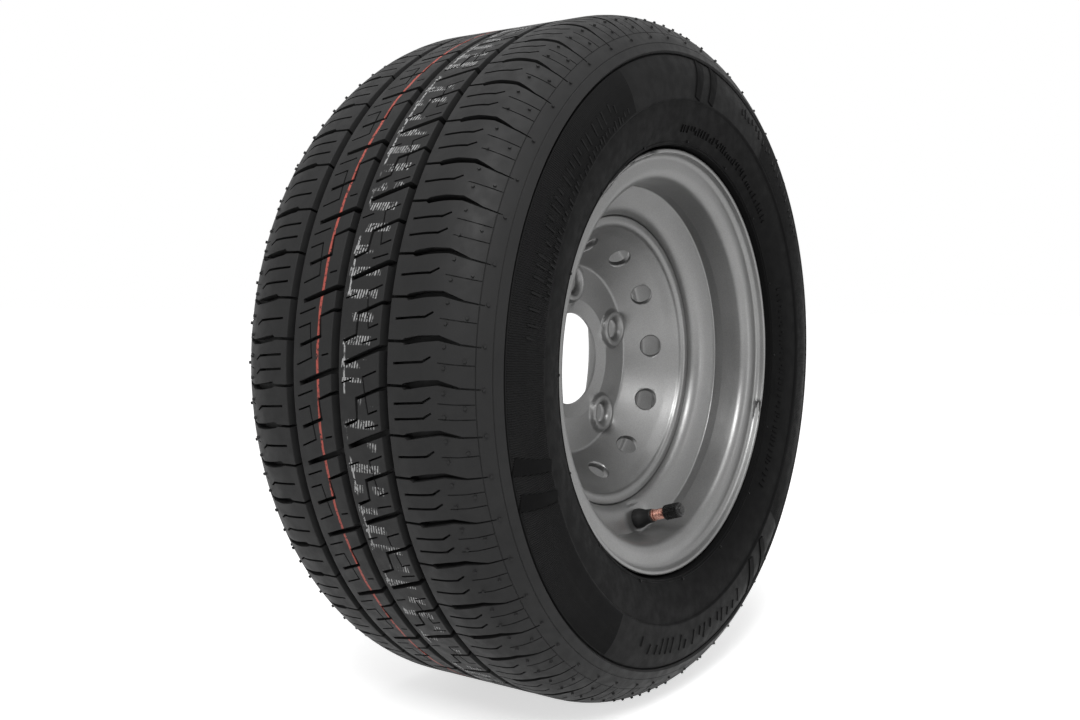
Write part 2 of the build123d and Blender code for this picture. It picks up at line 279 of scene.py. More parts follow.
def silver_paint():
    """Silver stoving paint: fine flakes, a faint orange peel and scuffs by the flange."""
    material, tree, shader, place = new_material("silver_paint")
    out, radius, angle = add_polar(tree, place)
    flakes = add_node(tree, "ShaderNodeTexVoronoi", {"Vector": place, "Scale": 2600.0}).outputs["Color"]
    flake = add_node(tree, "ShaderNodeSeparateColor", {"Color": flakes}).outputs[0]
    clouds = add_noise(tree, place, 16.0, 4.0)
    half_flake = add_math(tree, "MULTIPLY", flake, 0.5)
    tone = add_math(tree, "ADD", half_flake, add_math(tree, "MULTIPLY", clouds, 0.5))
    silver = add_mix(tree, tone, (0.142, 0.142, 0.141, 1), (0.225, 0.225, 0.223, 1))
    turn = add_math(tree, "MULTIPLY", angle, 9.0)
    rows = add_math(tree, "MULTIPLY", radius, 1500.0)
    stretched = add_node(tree, "ShaderNodeCombineXYZ", {"X": turn, "Y": rows}).outputs[0]
    streaks = add_noise(tree, stretched, 1.0, 3.0, 0.6)
    upper = add_range(tree, add_math(tree, "ABSOLUTE", add_math(tree, "SUBTRACT", angle, 2.06)), 0.30, 0.22)
    lower = add_range(tree, add_math(tree, "ABSOLUTE", add_math(tree, "ADD", angle, 0.31)), 0.07, 0.04)
    rubbed = add_math(tree, "MAXIMUM", upper, lower)
    rubbed = add_math(tree, "MULTIPLY", rubbed, add_range(tree, radius, 0.1404, 0.1412))
    scuff = add_math(tree, "MULTIPLY", rubbed, add_range(tree, streaks, 0.49, 0.53))
    shader.inputs["Metallic"].default_value = 0.74
    shader.inputs["Coat Roughness"].default_value = 0.22
    shader.inputs["Coat Weight"].default_value = 0.12
    tree.links.new(add_mix(tree, scuff, silver, (0.012, 0.012, 0.012, 1)), shader.inputs["Base Color"])
    gloss = add_range(tree, add_noise(tree, place, 60.0, 3.0), 0.2, 0.8, 0.34, 0.43)
    tree.links.new(gloss, shader.inputs["Roughness"])
    peel = add_noise(tree, place, 420.0, 2.0)
    tree.links.new(add_bump(tree, peel, 0.00006, 0.6), shader.inputs["Normal"])
    return material


paint = silver_paint()

valve_axis = Vector((-0.0285305, -0.9563048, 0.2909763))
valve_seat = Vector((11.3153, -45.0, -115.4020)) * mm
valve_hole_radius, valve_hole_length = 5.75, 30.0
dimple_flat, dimple_reach, dimple_depth = 8.5, 17.0, 12.0
valve_frame = Matrix.Translation(valve_seat) @ valve_axis.to_track_quat("Z", "Y").to_matrix().to_4x4()
to_valve = valve_frame.inverted() @ wheel_frame
wall_normal = Vector((well_radius - seat_toe_radius, seat_toe_out - well_open_out)).normalized()

rim = bmesh.new()
turned(rim, rounded_run(rim_bends + beside(rim_bends, rim_sheet)[::-1], rim_span, closed=True), rim_steps)
for vert in rim.verts:
    near = to_valve @ vert.co
    share = 1 - soft_step(dimple_flat * mm, dimple_reach * mm, hypot(near.x, near.y))
    if share > 0 and abs(near.z) < dimple_depth * mm:
        offset = Vector((vert.co.z / mm - well_open_out, hypot(vert.co.x, vert.co.y) / mm - well_radius))
        behind = offset.dot(wall_normal)
        level = -rim_sheet * mm if behind > rim_sheet / 2 else 0
        near.z += (level - near.z) * share
        vert.co = to_valve.inverted() @ near
hole = bmesh.new()
bmesh.ops.create_cone(
    hole, cap_ends=True, segments=32, depth=valve_hole_length * mm, matrix=to_valve.inverted(),
    radius1=valve_hole_radius * mm, radius2=valve_hole_radius * mm,
)
rim = cut_away(rim, hole)
rim_piece = new_piece("rim_rolled", rim, paint, "wheel")
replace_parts(rim_piece, "rim")

# Wheel disc
# Sheet steel pressed to a dished cone with a flat hub pad; vent holes, bolt holes and bore punched.
# Its turned crest is pushed into the well of the rim and welded there.
disc_sheet = 4.5
pad_out, pad_radius = -3.6, 69.2
cone_top_out, cone_top_radius = 32.0, 94.9
crest_out, crest_radius, disc_radius, disc_foot_out = 36.0, 96.3, 103.1, 11.0
bore_radius, bore_bevel_radius, bore_bevel_drop = 33.5, 43.8, 2.6
bolt_circle, bolt_count, first_bolt = 56.0, 5, 22.2
lobe_radius, lobe_slope, lobe_ease, lobe_back = 15.0, 4.0, 1.2, 3.0
collar_radius, collar_height, collar_flank = 15.8, 3.8, 3.0
pressed_radius, fine_radius, fine_span, disc_span, disc_steps = 92.0, 84.0, 0.8, 3, 432
vent_circle, vent_count, first_vent, vent_radius = 81.9, 12, 5.2, 8.0
disc_bends = [
    (disc_foot_out, disc_radius, 0),
    (crest_out, disc_radius, 1.4),
    (crest_out, crest_radius, 4),
    (cone_top_out, cone_top_radius, 5),
    (pad_out, pad_radius, 2.6),
    (pad_out, bore_radius, 0),
]
bore_bends = [(pad_out, bore_bevel_radius, 2), (pad_out - bore_bevel_drop, bore_radius, 0)]
bolt_cutter = [
    (4, 0), (4, 15), (0.3, 11.3), (0, 10.6), (-0.4, 9.8), (-1.2, 8.8),
    (-2.4, 7.9), (-3.8, 7.2), (-4.6, 7), (-6, 7), (-14, 11), (-14, 0),
]
vent_cutter = [
    (6, 0), (6, 11), (0.3, 9.1), (0, 8.7), (-0.4, 8.3), (-1.1, vent_radius),
    (-4.1, vent_radius), (-4.8, 8.5), (-9, 10.5), (-9, 0),
]


def turned_at(bm, run, steps, place):
    """Turns a section that starts and ends on its axis, and moves it to a place."""
    shape = bmesh.new()
    turned(shape, run, steps)
    bmesh.ops.remove_doubles(shape, verts=shape.verts, dist=0.001 * mm)
    bmesh.ops.transform(shape, matrix=place, verts=shape.verts)
    mesh = bpy.data.meshes.new("shape")
    shape.to_mesh(mesh)
    shape.free()
    bm.from_mesh(mesh)
    bpy.data.meshes.remove(mesh)


def lower_of(first, second):
    """The lower of two heights, the bend between them rounded."""
    power = 2.5
    if min(first, second) <= 0.001:
        return 0
    return (first ** -power + second ** -power) ** (-1 / power)


disc = bmesh.new()
front_run = []
for start, end in pairwise(rounded_run(disc_bends[:-1] + bore_bends, disc_span)):
    parts = ceil((end - start).length / fine_span) if bore_bevel_radius - 1 < start.y < fine_radius else 1
    front_run += [start.lerp(end, part / parts) for part in range(parts)]
front_run.append(end)
back_run = rounded_run(beside(disc_bends, -disc_sheet), disc_span)
on_front = disc.verts.layers.int.new("front")
turned(disc, front_run + back_run[::-1], disc_steps, marked=(on_front, len(front_run)))
bolt_angles = [radians(first_bolt + 360 / bolt_count * k) for k in range(bolt_count)]
bolts = [Matrix.Rotation(angle, 2) @ Vector((bolt_circle, 0)) for angle in bolt_angles]
for vert in disc.verts:
    spot, out = vert.co.xy / mm, vert.co.z / mm
    if spot.length < pressed_radius:
        reach = min((spot - bolt).length for bolt in bolts)
        front = vert[on_front] == 1
        level = pad_out if front else pad_out - disc_sheet
        past = max(0, reach - (lobe_radius if front else lobe_radius + lobe_back))
        height = out - level
        if spot.length > bore_bevel_radius:
            height = lower_of(height, lobe_slope * past * past / (past + lobe_ease))
        if front:
            height += collar_height * (1 - soft_step(collar_radius - collar_flank, collar_radius, reach))
        vert.co.z = (level + height) * mm
tools = bmesh.new()
for bolt in bolts:
    turned_at(tools, bolt_cutter, 48, Matrix.Translation((*bolt * mm, (pad_out + collar_height) * mm)))
cone_slope = (cone_top_out - pad_out) / (cone_top_radius - pad_radius)
vent_out = pad_out + (vent_circle - pad_radius) * cone_slope
for k in range(vent_count):
    around = Matrix.Rotation(radians(first_vent + 360 / vent_count * k), 4, "Z")
    tilt = Matrix.Rotation(-atan(cone_slope), 4, "Y")
    on_cone = Matrix.Translation((vent_circle * mm, 0, vent_out * mm))
    turned_at(tools, vent_cutter, 40, around @ on_cone @ tilt)
disc = cut_away(disc, tools)
disc_piece = new_piece("disc_pressed", disc, paint, "wheel")
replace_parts(disc_piece, "wheel_disc")

# Welds
# Six short fillet beads of weld steel between the foot of the disc and the well of the rim, laid
# from the hub side and painted over with the wheel. They alone hold the disc.
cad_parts["disc_welds"].data.materials.clear()
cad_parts["disc_welds"].data.materials.append(paint)

# Tyre casing
# Moulded rubber: both sidewalls with their raised bands, the beads, and the floor below the tread.
# The beads grip the seats of the rim; nothing else holds the tyre on.
def tyre_rubber(name, sheen, dust):
    """Black tyre rubber: fine grain, a dull bloom on the tread with painted shade down in its grooves, dark
    sidewalls, ink on the ribs.
    """
    material, tree, shader, place = new_material(name)
    out, radius, angle = add_polar(tree, place)
    clouds = add_noise(tree, place, 22.0, 5.0, 0.6)
    bloom = add_mix(tree, clouds, (0.0105, 0.0105, 0.0108, 1), (0.0175, 0.0175, 0.0175, 1))
    side = add_mix(tree, clouds, (0.0022, 0.0022, 0.0024, 1), (0.0036, 0.0036, 0.0036, 1))
    tread = add_range(tree, radius, 0.1755, 0.178, 0.0, dust)
    flank = add_range(tree, add_math(tree, "ABSOLUTE", out), 0.0480, 0.0505)
    # Painted shade: across the middle of the tread, below the tread top the bloom fades toward the dark sidewall
    # tone, as shade down in the grooves
    painted_groove_shade = add_math(tree, "MAXIMUM", flank, add_range(tree, radius, 0.2270, 0.2330, 0.12, 1.0))
    body = add_mix(tree, add_math(tree, "MULTIPLY", tread, painted_groove_shade), side, bloom)
    top = add_range(tree, radius, 0.2334, 0.2337)
    worn = add_noise(tree, place, 520.0, 4.0, 0.7)
    wobble = add_math(tree, "SUBTRACT", add_noise(tree, place, 30.0), 0.5)
    wobble = add_math(tree, "MULTIPLY", wobble, 0.004)
    off_line = add_math(tree, "ABSOLUTE", add_math(tree, "ADD", add_math(tree, "ADD", out, 0.0134), wobble))
    line = add_math(tree, "MULTIPLY", add_range(tree, off_line, 0.0011, 0.0007), top)
    line = add_math(tree, "MULTIPLY", line, add_range(tree, worn, 0.36, 0.5))
    body = add_mix(tree, line, body, (0.31, 0.07, 0.055, 1))
    along = add_math(tree, "MULTIPLY", angle, 0.234)
    slant = add_math(tree, "ADD", out, add_math(tree, "MULTIPLY", along, 0.22))
    ticks = add_range(tree, add_math(tree, "FRACT", add_math(tree, "MULTIPLY", slant, 520.0)), 0.56, 0.44)
    rows = add_range(tree, add_math(tree, "FRACT", add_math(tree, "MULTIPLY", along, 80.0)), 0.42, 0.36)
    off_edge = add_math(tree, "ABSOLUTE", add_math(tree, "SUBTRACT", out, 0.0072))
    edge_line = add_range(tree, off_edge, 0.0008, 0.0004)
    strokes = add_math(tree, "MAXIMUM", add_math(tree, "MULTIPLY", ticks, rows), edge_line)
    off_rib = add_math(tree, "ABSOLUTE", add_math(tree, "SUBTRACT", out, 0.0165))
    inked = add_range(tree, off_rib, 0.0118, 0.0108)
    patches = add_range(tree, add_noise(tree, place, 48.0, 2.0), 0.46, 0.52)
    ink = add_math(tree, "MULTIPLY", strokes, inked)
    for share in (patches, top, add_range(tree, worn, 0.42, 0.5)):
        ink = add_math(tree, "MULTIPLY", ink, share)
    tree.links.new(add_mix(tree, ink, body, (0.30, 0.30, 0.30, 1)), shader.inputs["Base Color"])
    gloss = add_range(tree, add_noise(tree, place, 140.0, 4.0), 0.25, 0.75, 0.50, 0.66)
    tree.links.new(gloss, shader.inputs["Roughness"])
    shader.inputs["Specular IOR Level"].default_value = sheen
    grain = add_noise(tree, place, 1500.0, 3.0, 0.6)
    tree.links.new(add_bump(tree, grain, 0.00012, 0.5), shader.inputs["Normal"])
    return material


rubber = tyre_rubber("tread_rubber", 0.14, 1.0)
side_rubber = tyre_rubber("sidewall_rubber", 0.055, 0.55)
plain_rubber = tyre_rubber("plain_rubber", 0.02, 0.25)

tread_radius, groove_floor_radius = 234.0, 227.0
tread_flat, shoulder_curve, shoulder_sweep = 51.0, 49.03, radians(63.3)
shoulder_foot_out, shoulder_foot_radius = 93.6, 205.8
casing_span, casing_steps = 14, 240
casing_half = [
    (44.0, groove_floor_radius, 3),
    (53.0, 224.5, 3),
    (79.0, 216.0, 6),
    (90.5, 207.0, 2),
    (shoulder_foot_out - 1.6, shoulder_foot_radius, 0.2),
    (shoulder_foot_out - 1.2, shoulder_foot_radius - 1.0, 0.2),
    (shoulder_foot_out + 0.3, shoulder_foot_radius - 1.3, 0.4),
    (96.9, 198.5, 22),
    (98.9, 190.0, 30),
    (99.0, 178.0, 20),
    (98.9, 176.6, 0.5),
    (97.5, 175.6, 0.5),
    (96.8, 168.0, 40),
    (91.4, 153.0, 25),
    (89.0, 150.2, 0.4),
    (89.3, 149.6, 0.3),
    (88.7, 149.0, 0.3),
    (88.1, 149.0, 0.3),
    (88.1, 148.0, 0.3),
    (87.3, 147.9, 0.3),
    (83.4, 147.3, 1.0),
    (74.6, 145.4, 1.5),
    (74.2, 136.0, 3),
    (68.0, 129.7, 3),
    (62.0, 128.4, 1.5),
    (60.0, 131.0, 6),
    (82.0, 156.0, 20),
    (91.6, 176.0, 40),
    (90.0, 193.0, 40),
    (70.0, 212.0, 20),
    (40.0, 220.5, 20),
]
casing = bmesh.new()
casing_bends = casing_half + [(-out, radius, bend) for out, radius, bend in casing_half[::-1]]
turned(casing, rounded_run(casing_bends, casing_span, closed=True), casing_steps)
casing_piece = new_piece("tyre_casing", casing, side_rubber, "wheel", crease=28)
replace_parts(casing_piece, "tyre")

# Tread ribs
# Two ribs on each side of the middle groove, moulded with the casing, each with 32 like units of
# one wide slot, a stepped slot and thin sipes that hook round it.
rib_units, rib_foot_radius, rib_draft, rib_edge_bend = 32, 225.4, 1.2, 0.5
rib_inner, rib_outer = 3.1, 32.6
rib_step = 2 * pi / rib_units
rib_hub_first, rib_open_first = radians(180.2), radians(177.0)
slot_depth, sipe_depth, sipe = 6.0, 4.5, 1.0
hub_rib_cuts = [
    [(-27.5, 4.2, 2.6), (-15, 0.1, 3.2), (-1, -4.4, 3.2)],
    [(-10.5, -12, sipe), (-5, -13.2, sipe)],
    [(-29.5, -6.2, sipe), (-18, -10.6, sipe), (-20.5, -29.6, sipe), (-29.5, -26.8, sipe)],
    [(-27.5, -17, 2.1), (-12, -22.6, 2.0), (-13, -33.6, 1.4), (-1, -38.0, 2.1)],
    [(-29.5, -34.6, sipe), (-17.5, -38.4, sipe)],
]
open_rib_cuts = [
    [(7, 4.8, 2.6), (20, 0.1, 3.2), (35, -5, 3.2)],
    [(5, 15.4, sipe), (13, 13, sipe)],
    [(31, 8, sipe), (21, 11.6, sipe), (24, 31.4, sipe), (31, 29, sipe)],
    [(35, 16.7, 2.1), (16, 23.4, 2.0), (15.5, 35, 1.4), (6, 38.8, 2.1)],
    [(20, 39.4, sipe), (31, 36.9, sipe)],
]


def wrapped(a, s, height):
    """Place on the tyre of a point of the flat pattern: across, along and above the tread."""
    turn = asin(max(abs(a) - tread_flat, 0) / shoulder_curve)
    curve = shoulder_curve + height
    out = min(abs(a), tread_flat) + (curve * sin(turn) if turn else 0)
    radius = tread_radius - shoulder_curve + curve * cos(turn)
    angle = s / tread_radius
    return Vector((radius * cos(angle), radius * sin(angle), out if a > 0 else -out)) * mm


def even(depth):
    """Depth of a stroke that is the same all along it."""
    return lambda a: depth


def stroke(bm, line, depth, lid=1.5):
    """Bar along a line of (across, along, width) points of the flat pattern, from its lid to a depth."""
    left, right = [], []
    for step, (a, s, width) in enumerate(line):
        spot = Vector((a, s))
        back = spot - Vector(line[step - 1][:2]) if step else Vector(line[1][:2]) - spot
        ahead = Vector(line[step + 1][:2]) - spot if step + 1 < len(line) else back
        lean = (back.normalized() + ahead.normalized()).normalized()
        normal = Vector((-lean.y, lean.x))
        half = normal * width / 2 / normal.dot(Vector((-back.y, back.x)).normalized())
        left.append(spot + half)
        right.append(spot - half)
    near, far = [[bm.verts.new((*spot, lid)) for spot in edge] for edge in (left, right)]
    tops = [bm.faces.new((*first, *second[::-1])) for first, second in zip(pairwise(near), pairwise(far))]
    floor = bmesh.ops.extrude_face_region(bm, geom=tops, use_keep_orig=True)["geom"]
    for vert in floor:
        if isinstance(vert, bmesh.types.BMVert):
            vert.co.z = -depth(vert.co.x)


def unit_mesh(section, start, length, cuts, steps):
    """One unit of the tread from start on, its cuts made and its two ends left open."""
    unit = bmesh.new()
    turned(unit, section, steps, length / tread_radius)
    bmesh.ops.rotate(unit, verts=unit.verts, matrix=Matrix.Rotation(start / tread_radius, 3, "Z"))
    bmesh.ops.holes_fill(unit, edges=unit.edges)
    for vert in cuts.verts:
        vert.co = wrapped(*vert.co)
    unit = cut_away(unit, cuts, crossing=True)
    ends = (start / tread_radius, (start + length) / tread_radius)
    spare = [
        face for face in unit.faces
        if any(all(abs(atan2(vert.co.y, vert.co.x) - end) < 1e-6 for vert in face.verts) for end in ends)
    ]
    bmesh.ops.delete(unit, geom=spare, context="FACES")
    mesh = bpy.data.meshes.new("unit")
    unit.to_mesh(mesh)
    unit.free()
    return mesh


def add_turned(bm, mesh, angle):
    """Adds a mesh, turned round the axle."""
    before = len(bm.verts)
    bm.from_mesh(mesh)
    bm.verts.ensure_lookup_table()
    bmesh.ops.rotate(bm, verts=bm.verts[before:], matrix=Matrix.Rotation(angle, 3, "Z"))


def rib(name, inner, outer, lines, first, start):
    """One rib of the tread, from its cuts in the flat pattern."""
    bends = [
        (inner - rib_draft, rib_foot_radius, 0),
        (inner - rib_draft, groove_floor_radius, 0),
        (inner, tread_radius, rib_edge_bend),
        (outer, tread_radius, rib_edge_bend),
        (outer + rib_draft, groove_floor_radius, 0),
        (outer + rib_draft, rib_foot_radius, 0),
    ]
    cuts = bmesh.new()
    for line in lines:
        deep = sipe_depth if max(point[2] for point in line) <= sipe else slot_depth
        stroke(cuts, line, even(deep))
    section = rounded_run(bends, 10, closed=True)
    mesh = unit_mesh(section, start, rib_step * tread_radius, cuts, 9)
    bm = bmesh.new()
    for k in range(rib_units):
        add_turned(bm, mesh, first + k * rib_step)
    bpy.data.meshes.remove(mesh)
    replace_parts(new_piece(name, bm, rubber, "wheel", crease=28), "tyre")


rib("tyre_rib_hub_side", -rib_outer, -rib_inner, hub_rib_cuts, rib_hub_first, -40.3)
rib("tyre_rib_open_side", rib_inner, rib_outer, open_rib_cuts, rib_open_first, -5.9)

# Tread shoulders
# The outer bands of the tread, rounded over to the sidewall, with cross grooves at three pitches
# in a fixed sequence, so that the tyre runs quietly.
pitch_sequence = "LLSLSSSMSMMLMS" * 4
pitch_weights = {"S": 5.75, "M": 6.55, "L": 7.45}
pitch_scale = 2 * pi * tread_radius / sum(pitch_weights[pitch] for pitch in pitch_sequence)
first_pitch, hub_shoulder_shift, pitch_lead = radians(135.6), radians(1.2), 5
cross_groove = [
    (37, 0, 1.6), (49, 0, 1.6), (50.5, 0.2, 3.7), (60, -1.5, 3.7), (70, -2.4, 3.0), (80, 0.7, 1.2), (88, 1.6, 0.9),
]
shoulder_sipe = [(43, 0, 1.4), (62, -1.4, 1.4), (66.5, -4.2, 1.1)]
score = [(70, 0, 0.7), (78, 0.8, 0.7), (86, 1.2, 0.7)]
sipe_shares = {"S": [0.5], "M": [0.36, 0.67], "L": [0.35, 0.66]}
shoulder_inner, shoulder_parts = 38.8, 14
ring_turns, ring_half_width, ring_depth = (0.80, 0.985), 0.008, 0.35
shoulder_turns = [(shoulder_sweep * step / shoulder_parts, 0) for step in range(shoulder_parts + 1)]
for ring in ring_turns:
    shoulder_turns += [(ring - ring_half_width, 0), (ring, ring_depth), (ring + ring_half_width, 0)]
shoulder_bends = [
    (shoulder_inner - rib_draft, rib_foot_radius, 0),
    (shoulder_inner - rib_draft, groove_floor_radius, 0),
    (shoulder_inner, tread_radius, rib_edge_bend),
]
for turn, deep in sorted(shoulder_turns):
    curve = shoulder_curve - deep
    shoulder_bends.append((tread_flat + curve * sin(turn), tread_radius - shoulder_curve + curve * cos(turn), 0))
shoulder_bends += [
    (shoulder_foot_out, shoulder_foot_radius, 0),
    (89.0, 205.0, 0),
    (76.0, 213.5, 0),
    (52.0, 221.5, 0),
    (42.0, rib_foot_radius, 0),
]


def cross_depth(a):
    """Depth of a cross groove: even over the tread, running out down the shoulder."""
    return 5.5 - 4.9 * soft_step(66, 84, a)


def shoulder_unit(pitch):
    """One pitch of the shoulder: a cross groove, and between it and the next sipes and scored lines."""
    length = pitch_weights[pitch] * pitch_scale
    cuts = bmesh.new()
    stroke(cuts, cross_groove, cross_depth)
    for share in sipe_shares[pitch]:
        stroke(cuts, [(a, s + share * length, width) for a, s, width in shoulder_sipe], even(4))
        stroke(cuts, [(a, s + share * length - 1, width) for a, s, width in score], even(0.5))
    return unit_mesh(rounded_run(shoulder_bends, casing_span, closed=True), -pitch_lead, length, cuts, 6)


shoulder_units = {pitch: shoulder_unit(pitch) for pitch in pitch_weights}
half_turn = Matrix.Rotation(pi, 4, "X")
for name, turn, first in (
    ("tyre_shoulder_open_side", Matrix(), first_pitch),
    ("tyre_shoulder_hub_side", half_turn, -first_pitch - hub_shoulder_shift),
):
    bm = bmesh.new()
    along = 0
    for pitch in pitch_sequence:
        add_turned(bm, shoulder_units[pitch], along / tread_radius + first)
        along += pitch_weights[pitch] * pitch_scale
    piece = new_piece(name, bm, rubber, "wheel", crease=28, place=wheel_frame @ turn)
    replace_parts(piece, "tyre")

# Sidewall marks
# Raised by the mould on both sidewalls: a band of fine radial ribs below the shoulder, pairs of plain
# slanted bars, rows of short plain bars, and the nubs that the vents of the mould leave.
side_mid_radius, side_top, side_limit = 191.0, 0.5, 99.98
side_run = rounded_run(casing_half[6:15], 3)
fine_ribs, fine_rib_depth, fine_rib_fields = 960, 0.7, [(118, 238), (-44, 58)]
fine_rib_radii = [204.0, 201.0, 197.5, 193.0, 188.0, 183.0, 177.6]
mark_lid, mark_root, mark_width = 0.9, 0.8, 1.2
bar_pairs = [(200, 194), (90, 84), (-54, -61)]
mark_rows = [
    (190.0, 8.0, 125, 175, 8.6),
    (180.6, 5.0, 121, 168, 5.4),
    (190.0, 10.5, -112, -66, 11.6),
    (194.0, 8.0, 30, 72, 9.2),
    (158.0, 4.6, 42, 96, 6.0),
    (158.0, 4.6, -40, 20, 6.0),
]


def side_out(radius):
    """How far out the sidewall of the casing is at a radius."""
    for start, end in pairwise(side_run):
        if radius >= end.y:
            return end.x + (start.x - end.x) * (radius - end.y) / (start.y - end.y)


def on_side(radius, s, height):
    """Place on the sidewall of a point of its flat pattern: radius, way round and height."""
    angle = s / side_mid_radius
    return Vector((radius * cos(angle), radius * sin(angle), side_out(radius) + height)) * mm


def ribbed_at(angle):
    """Whether the fine ribs stand at this angle."""
    return any(low <= angle <= high or low <= angle - 360 <= high for low, high in fine_rib_fields)


for name, turn in (("sidewall_ribs_open_side", Matrix()), ("sidewall_ribs_hub_side", half_turn)):
    band = bmesh.new()
    front = [(min(side_out(radius) + side_top, side_limit), radius) for radius in fine_rib_radii]
    on_top = band.verts.layers.int.new("top")
    turned(band, front + [(97.0, 178.0), (91.0, 202.0)], 2 * fine_ribs, marked=(on_top, len(front)))
    for vert in band.verts:
        angle = degrees(atan2(vert.co.y, vert.co.x)) % 360
        column = round(angle / 360 * 2 * fine_ribs)
        if vert[on_top] and (column % 2 or not ribbed_at(angle)):
            vert.co.z -= fine_rib_depth * mm
    piece = new_piece(name, band, side_rubber, "wheel", crease=50, place=wheel_frame @ turn)
    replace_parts(piece, "tyre")

chance = Random(7)
marks, bars = bmesh.new(), bmesh.new()
for pair in bar_pairs:
    for angle in pair:
        s = radians(angle) * side_mid_radius
        line = [(177.8 + 2.6 * step, s + 5.2 - 0.86 * step, 6.6 + 0.24 * step) for step in range(11)]
        stroke(bars, line, even(mark_root), mark_lid)
for radius, height, low, high, pitch in mark_rows:
    s = radians(low) * side_mid_radius
    while s < radians(high) * side_mid_radius:
        low_end, high_end = chance.choice(((-0.5, 0.5), (-0.5, 0.5), (-0.5, 0.1), (-0.1, 0.5)))
        low_point = (radius + low_end * height, s, mark_width)
        high_point = (radius + high_end * height, s - mark_width / 2, mark_width)
        stroke(marks, [low_point, high_point], even(mark_root), mark_lid)
        s += chance.choice((0.62, 0.8, 1.0)) * pitch
for name, shapes, material in (
    ("sidewall_marks", marks, side_rubber), ("sidewall_bars", bars, plain_rubber),
):
    for vert in shapes.verts:
        vert.co = on_side(*vert.co)
        vert.co.z = min(vert.co.z, side_limit * mm)
    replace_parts(new_piece(name, shapes, material, "wheel"), "tyre")

nub_foot_radius, nub_tip_radius, nub_height = 1.15, 0.85, 1.1
nub_spots = [(73, 0.30), (82, 0.62), (73, 0.78), (89, 0.25)]
bead_nubs, bead_nub_radius, bead_nub_height = 16, 150.6, 1.0
nubs = bmesh.new()


def nub(foot, tip):
    """Short round nub that stands on the rubber between two points."""
    way = tip - foot
    matrix = Matrix.Translation(foot) @ way.to_track_quat("Z", "Y").to_matrix().to_4x4()
    bmesh.ops.create_cone(
        nubs, cap_ends=True, segments=7, depth=2 * way.length, matrix=matrix,
        radius1=nub_foot_radius * mm, radius2=nub_tip_radius * mm,
    )


for side, first in ((1, first_pitch), (-1, first_pitch + hub_shoulder_shift)):
    along = 0
    for pitch in pitch_sequence:
        length = pitch_weights[pitch] * pitch_scale
        for a, share in nub_spots:
            s = first * tread_radius + side * (along + share * length - pitch_lead)
            nub(wrapped(side * a, s, 0), wrapped(side * a, s, nub_height))
        along += length
    for k in range(bead_nubs):
        s = 2 * pi / bead_nubs * k * side_mid_radius
        foot, tip = [on_side(bead_nub_radius, s, height) for height in (0, bead_nub_height)]
        nub(foot * Vector((1, 1, side)), tip * Vector((1, 1, side)))
nubs_piece = new_piece("mould_nubs", nubs, rubber, "wheel")
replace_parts(nubs_piece, "tyre")

# Valve body
# Black rubber moulded round the brass stem.
# It is pulled through the hole in the rim from inside, until its groove snaps in.


def plain_finish(name, dark, light, metallic, rough, grain, bump):
    """Material with two tones mixed by a fine grain, and a bump of the same grain."""
    material, tree, shader, place = new_material(name)
    noise = add_noise(tree, place, grain, 3.0, 0.6)
    shader.inputs["Metallic"].default_value = metallic
    tone = add_mix(tree, add_range(tree, noise, 0.35, 0.65), dark, light)
    tree.links.new(tone, shader.inputs["Base Color"])
    tree.links.new(add_range(tree, noise, 0.3, 0.7, rough - 0.06, rough + 0.08), shader.inputs["Roughness"])
    tree.links.new(add_bump(tree, noise, bump), shader.inputs["Normal"])
    shader.inputs["Specular IOR Level"].default_value = 0.3
    return material


valve_rubber = plain_finish(
    "valve_rubber", (0.004, 0.004, 0.004, 1), (0.008, 0.008, 0.008, 1), 0.0, 0.5, 900.0, 0.00004,
)
brass = plain_finish("brass", (0.12, 0.045, 0.035, 1), (0.44, 0.26, 0.21, 1), 1.0, 0.30, 1700.0, 0.0001)
spring_steel = plain_finish(
    "spring_steel", (0.30, 0.30, 0.31, 1), (0.45, 0.45, 0.46, 1), 1.0, 0.3, 800.0, 0.00002,
)
cap_plastic = plain_finish(
    "cap_plastic", (0.005, 0.005, 0.005, 1), (0.010, 0.010, 0.010, 1), 0.0, 0.28, 700.0, 0.00002,
)

stem_radius, collar_out = 3.0, 14.05
bulb_bends = [
    (collar_out - 0.05, stem_radius + 0.05, 0),
    (collar_out - 0.05, 4.9, 0.6),
    (8.5, 5.3, 8),
    (4.0, 7.0, 6),
    (1.6, 7.3, 1.5),
    (0.1, 7.2, 0.5),
    (0.1, 5.65, 0),
    (-rim_sheet - 0.1, 5.65, 0),
    (-rim_sheet - 0.1, 7.4, 0.5),
    (-6.0, 7.4, 2),
    (-14.3, 5.8, 1.5),
    (-14.3, stem_radius + 0.05, 0),
]
bulb = bmesh.new()
turned(bulb, rounded_run(bulb_bends, 3, closed=True), 48)
bulb_piece = new_piece("valve_bulb", bulb, valve_rubber, "wheel", crease=50, place=valve_frame)
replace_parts(bulb_piece, "valve_body")

# Valve stem
# Brass tube turned on a lathe and bonded into the rubber, with a collar where it leaves it
# and an outside thread for the cap.
thread_top, thread_radius, thread_pitch, thread_depth = 36.0, 3.85, 0.794, 0.42
thread_start = 16.4
thread_core = thread_radius - thread_depth
stem_foot, stem_bore, core_seat_radius = -14.3, 1.7, 2.65
stem_run = [
    (stem_foot, stem_bore),
    (stem_foot, stem_radius),
    (collar_out, stem_radius),
    (collar_out, 4.2),
    (collar_out + 0.2, 4.4),
    (15.6, 4.4),
    (15.85, 4.15),
    (15.85, thread_core),
]
turns = int((thread_top - 0.8 - thread_start) / thread_pitch)
for k in range(turns):
    low = thread_start + k * thread_pitch
    stem_run += [(low, thread_core), (low + thread_pitch / 2, thread_radius)]
stem_run += [
    (thread_top - 0.6, thread_core),
    (thread_top, 3.3),
    (thread_top, core_seat_radius),
    (19.0, core_seat_radius),
    (18.5, stem_bore),
]
stem = bmesh.new()
turned(stem, stem_run, 40)
stem_piece = new_piece("valve_stem_threaded", stem, brass, "wheel", crease=40, place=valve_frame)
